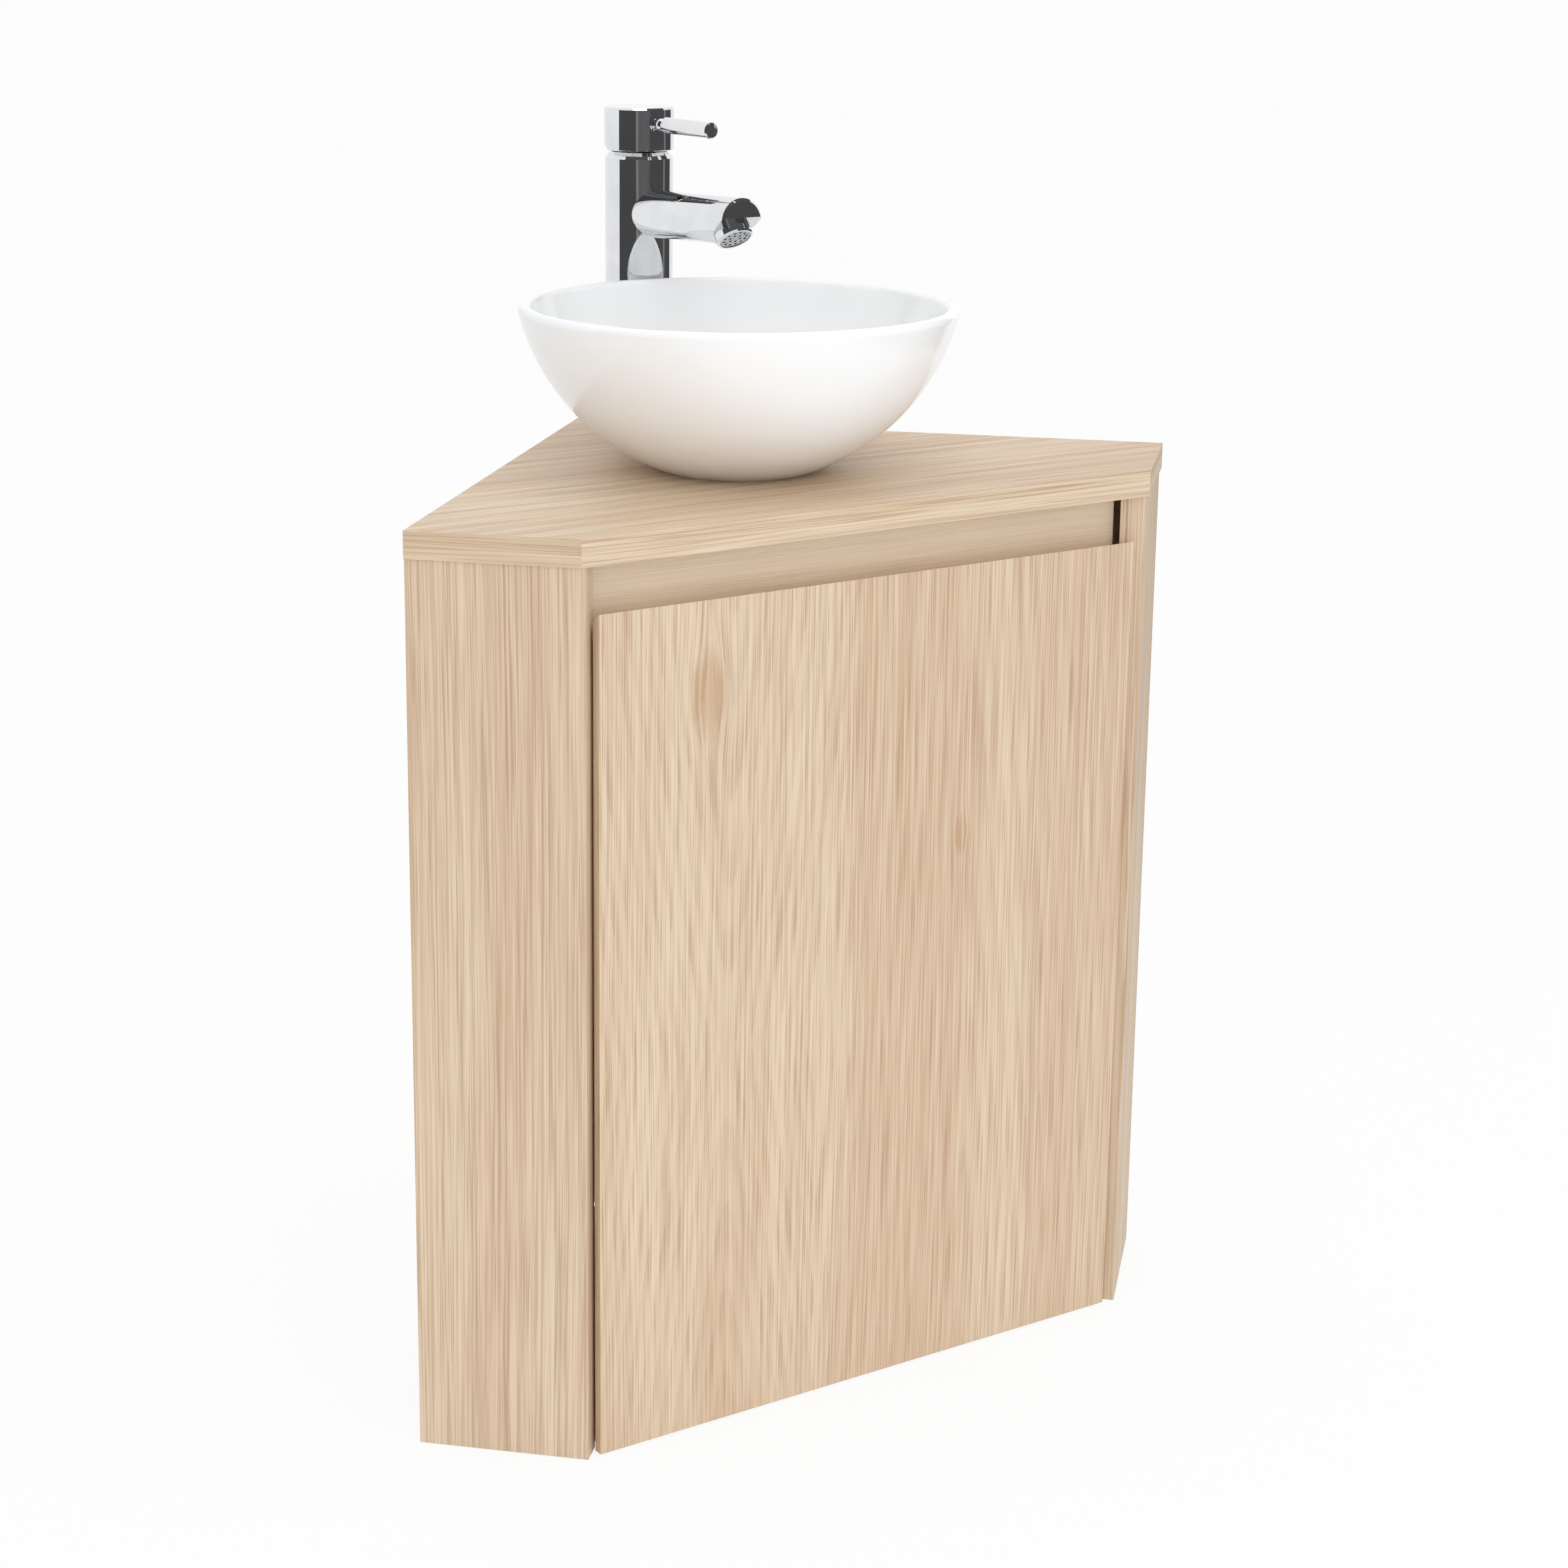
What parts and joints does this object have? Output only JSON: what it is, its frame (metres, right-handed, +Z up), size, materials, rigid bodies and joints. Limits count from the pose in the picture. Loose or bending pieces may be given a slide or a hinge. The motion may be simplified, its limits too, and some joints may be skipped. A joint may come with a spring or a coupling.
{
  "type": "corner vanity cabinet",
  "caption": "Corner vanity cabinet with a hinged door, inner shelf, round vessel bowl, bottle trap and single-lever mixer tap.",
  "frame": {"origin": "on the floor line, under the middle of the outer box", "axes": "+Z up, -Y out of the door, +Y towards the room's corner, +X to the right of someone facing the door"},
  "size_m": [0.5516, 0.3478, 0.7634],
  "materials": {
    "oak_laminate": "satin pale oak laminate",
    "beech": "raw",
    "white_glaze": "glossy",
    "chrome": "polished",
    "steel": "zinc plated",
    "brass": "machined",
    "rubber": "matt",
    "white_plastic": "moulded",
    "black_plastic": "moulded",
    "ferrite": "sintered"
  },
  "bodies": {
    "cabinet": {"worktop": "oak_laminate", "left_side_panel": "oak_laminate", "right_side_panel": "oak_laminate", "left_back_panel": "oak_laminate", "right_back_panel": "oak_laminate", "bottom_panel": "oak_laminate", "front_rail": "oak_laminate", "shelf": "oak_laminate", "shelf_pins": "steel", "corner_screws": "steel", "base_screws": "steel", "cam_locks": "steel", "cam_bolts": "steel", "wood_dowels": "beech", "worktop_brackets": "steel", "bracket_screws": "steel", "upper_hinge_bracket": "steel", "lower_hinge_bracket": "steel", "upper_hinge_guide": "black_plastic", "lower_hinge_guide": "black_plastic", "hinge_bracket_screws": "steel", "catch_housing": "white_plastic", "catch_magnet": "ferrite", "catch_screws": "steel", "basin": "white_glaze", "waste_washer": "rubber", "waste_body": "chrome", "waste_guide": "chrome", "waste_gasket": "rubber", "waste_nut": "brass", "trap_inlet_nut": "white_plastic", "trap_body": "white_plastic", "trap_cup": "white_plastic", "trap_outlet_nut": "white_plastic", "outlet_pipe": "white_plastic", "tap_body": "chrome", "tap_base_ring": "chrome", "aerator_housing": "chrome", "aerator_mesh": "steel", "tap_stud": "brass", "tap_washer": "rubber", "tap_clamp": "steel", "tap_nut": "brass", "cartridge": "white_plastic", "cartridge_nut": "brass"},
    "door": {"door": "oak_laminate", "upper_hinge_bow": "steel", "lower_hinge_bow": "steel", "hinge_bow_screws": "steel", "catch_strike": "steel", "strike_screws": "steel", "door_bumpers": "rubber"},
    "tap_spindle": {"tap_spindle": "white_plastic", "spindle_pin": "steel"},
    "tap_lever": {"lever_stem": "brass", "tap_head": "chrome", "lever_rod": "chrome"},
    "waste_plug": {"waste_plug": "chrome"}
  },
  "joints": [
    {"name": "door_swing", "type": "hinge", "parent": "cabinet", "child": "door", "pos_m": [0.18802, -0.17045, 0.08], "axis": [0, 0, 1], "range_deg": [0, 90]},
    {"name": "lever_swing", "type": "hinge", "parent": "cabinet", "child": "tap_spindle", "pos_m": [0.016, 0.12195, 0.715], "axis": [0, 0, 1], "range_deg": [-45, 45]},
    {"name": "lever_lift", "type": "hinge", "parent": "tap_spindle", "child": "tap_lever", "pos_m": [0.016, 0.12195, 0.7196], "axis": [-1, 0, 0], "range_deg": [0, 14]},
    {"name": "plug_push", "type": "slide", "parent": "cabinet", "child": "waste_plug", "axis": [0, 0, -1], "range_m": [0, 0.008]}
  ]
}
